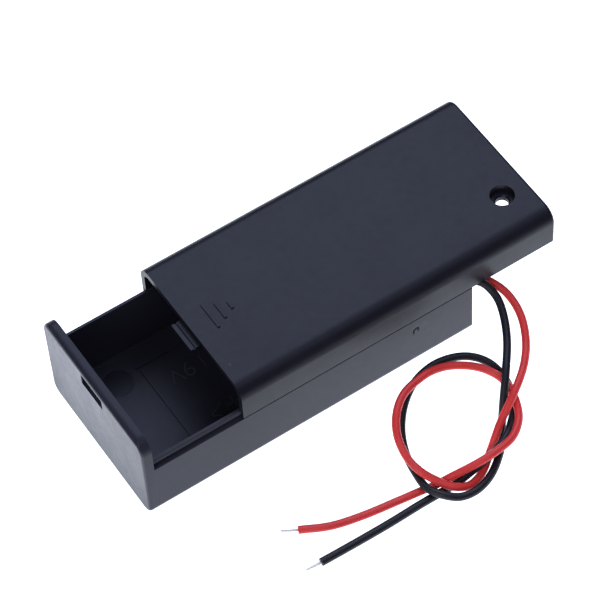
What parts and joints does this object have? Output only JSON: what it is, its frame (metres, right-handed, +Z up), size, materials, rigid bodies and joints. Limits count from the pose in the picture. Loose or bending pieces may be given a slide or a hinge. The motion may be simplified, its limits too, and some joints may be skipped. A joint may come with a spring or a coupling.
{
  "type": "battery box with sliding cover, slide switch and wire leads",
  "caption": "Box for a 9 V block battery: moulded tray with rails, sliding cover with a screw hole, leaf contacts, slide switch in the underside, and red and black wire leads.",
  "frame": {"origin": "middle of the tray's underside, on the table", "axes": "+X to the end where the leads come out, +Y to the left side seen from the front, +Z up"},
  "size_m": [0.087, 0.063, 0.0217],
  "materials": {
    "black_plastic": "moulded black plastic, finely textured, slightly glossy on the sides",
    "contact_metal": "nickel-plated spring sheet",
    "switch_board": "brown resin-bonded board",
    "knob_plastic": "black plastic",
    "wiper_metal": "sprung brass",
    "red_insulation": "red soft insulation, satin",
    "black_insulation": "black soft insulation, satin",
    "tinned_wire": "tinned copper strands",
    "solder": "smooth solder"
  },
  "bodies": {
    "box": {"base_housing": "black_plastic", "positive_contact": "contact_metal", "negative_contact": "contact_metal", "switch_frame": "contact_metal", "switch_board": "switch_board", "switch_terminal_1": "contact_metal", "switch_terminal_2": "contact_metal", "switch_terminal_3": "contact_metal", "jumper_wire": "black_insulation", "red_wire": "red_insulation", "black_wire": "black_insulation", "red_wire_end": "tinned_wire", "black_wire_end": "tinned_wire", "solder_positive": "solder", "solder_negative": "solder", "solder_switch_in": "solder", "solder_switch_out": "solder"},
    "cover": {"sliding_cover": "black_plastic"},
    "slider": {"switch_knob": "knob_plastic", "switch_wiper": "wiper_metal"}
  },
  "joints": [
    {"name": "cover_slide", "type": "slide", "parent": "box", "child": "cover", "axis": [1, 0, 0], "range_m": [-0.0182, 0.052]},
    {"name": "switch_slide", "type": "slide", "parent": "box", "child": "slider", "axis": [0, 1, 0], "range_m": [0, 0.003]}
  ]
}
